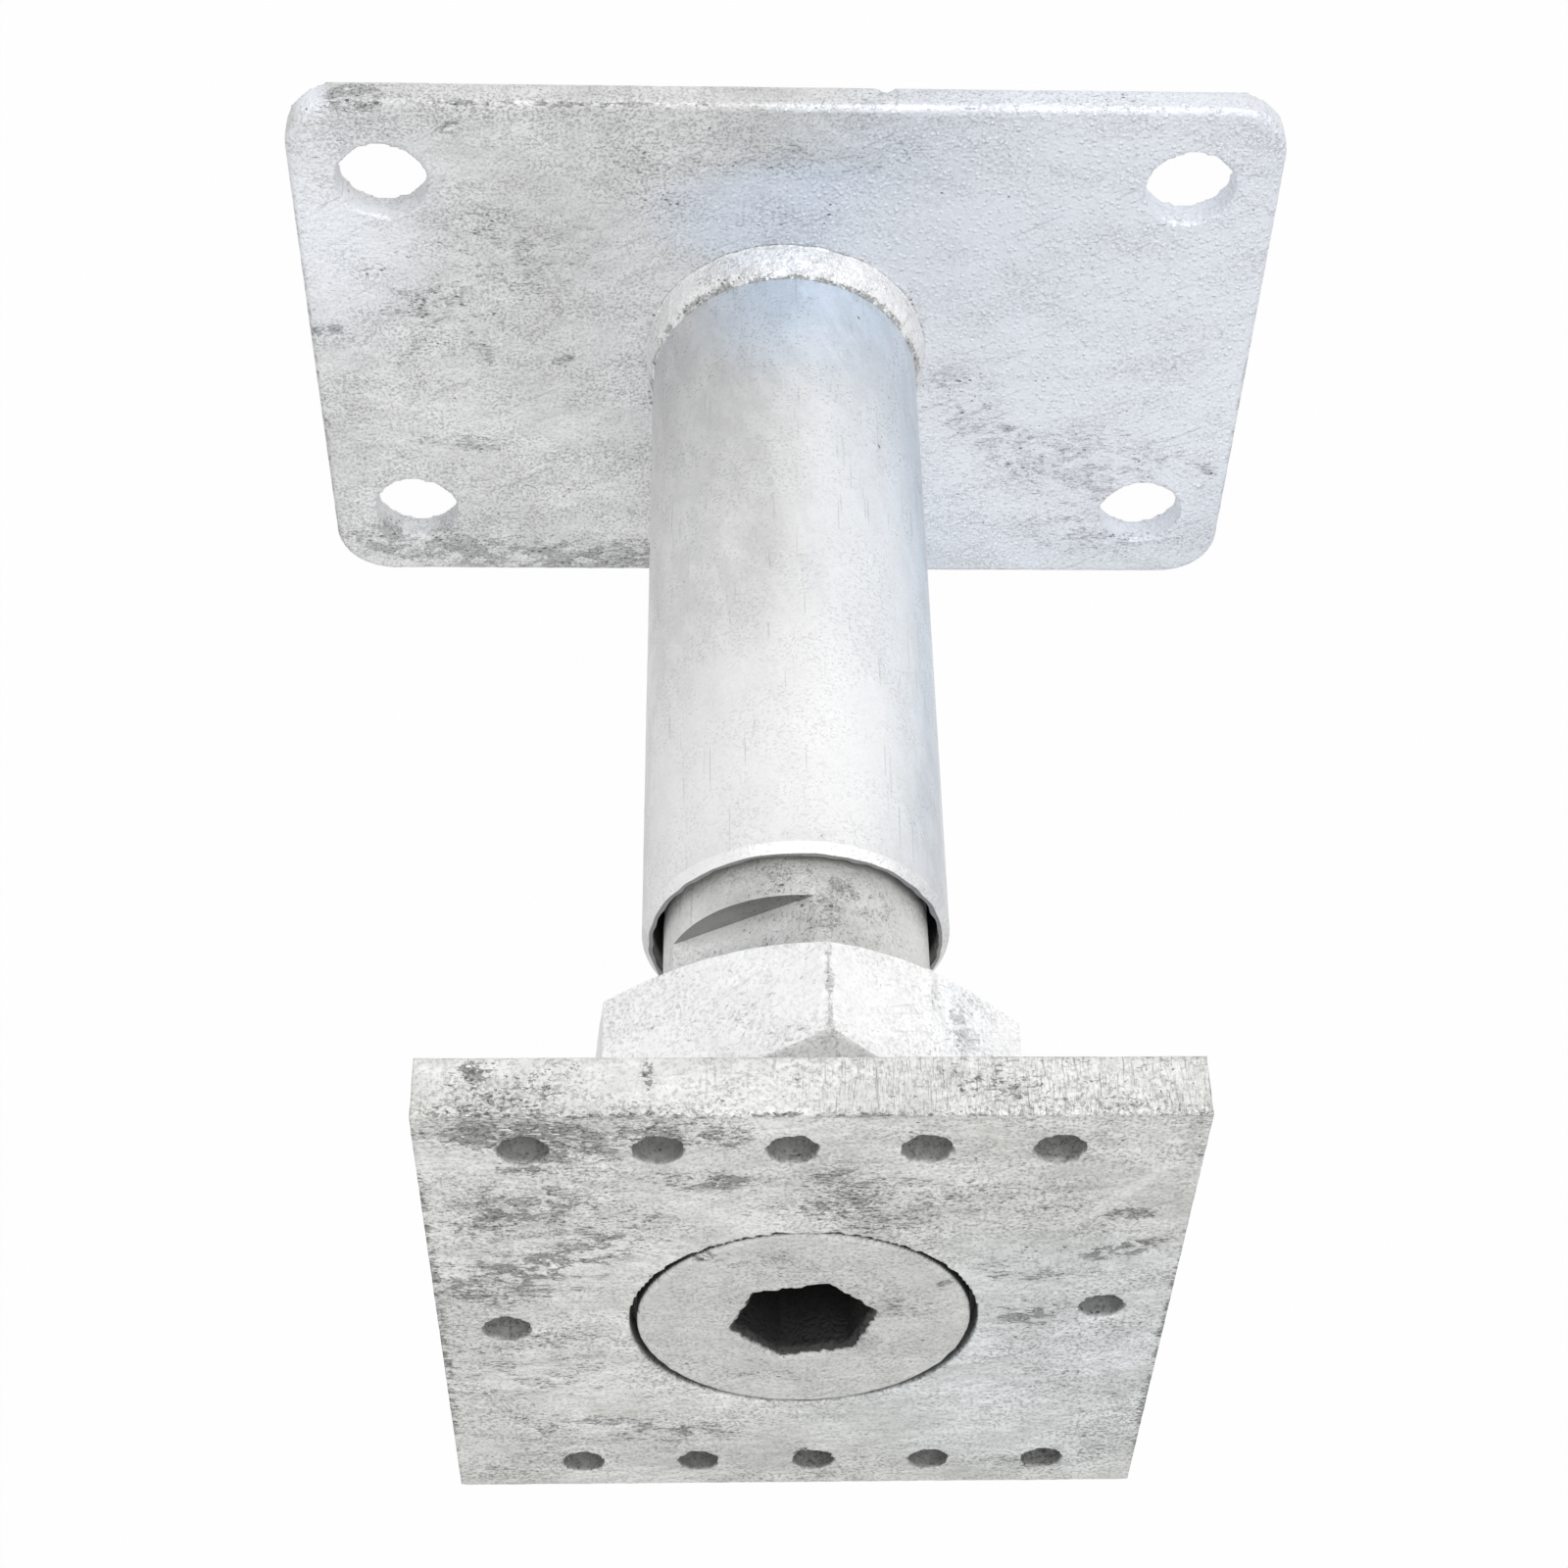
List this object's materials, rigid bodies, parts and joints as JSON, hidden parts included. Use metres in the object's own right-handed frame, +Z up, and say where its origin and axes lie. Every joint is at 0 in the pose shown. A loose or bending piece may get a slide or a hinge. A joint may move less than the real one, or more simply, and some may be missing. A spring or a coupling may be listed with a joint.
{
  "type": "timber post base",
  "caption": "Height-adjustable steel base that holds a timber post above a concrete floor, with a drilled base plate, a screw spindle in a tube and a swivelling head plate.",
  "frame": {"origin": "centre of the base plate's underside, on the spindle's axis", "axes": "+Z up along the spindle, +X along the base plate's longer side"},
  "size_m": [0.151, 0.1, 0.18],
  "materials": {
    "base_plate": "hot-dip galvanised",
    "tube": "hot-dip galvanised",
    "weld_bead": "hot-dip galvanised",
    "spindle": "hot-dip galvanised",
    "hex_collar": "hot-dip galvanised",
    "head_plate": "hot-dip galvanised"
  },
  "bodies": {
    "base": {"base_plate": "base_plate", "tube": "tube", "weld_bead": "weld_bead"},
    "head": {"head_plate": "head_plate"},
    "spindle": {"spindle": "spindle", "hex_collar": "hex_collar"}
  },
  "joints": [
    {"name": "height_slide", "type": "slide", "parent": "base", "child": "head", "axis": [0, 0, 1], "range_m": [-0.0181, 0.0421]},
    {"name": "spindle_turn", "type": "hinge", "parent": "head", "child": "spindle", "pos_m": [0, 0, 0.176], "axis": [0, 0, 1], "range_deg": [-1620, 3780]}
  ],
  "couplings": [
    {"joint": "height_slide", "follows": "spindle_turn", "m_per_rad": 0.00063662}
  ]
}
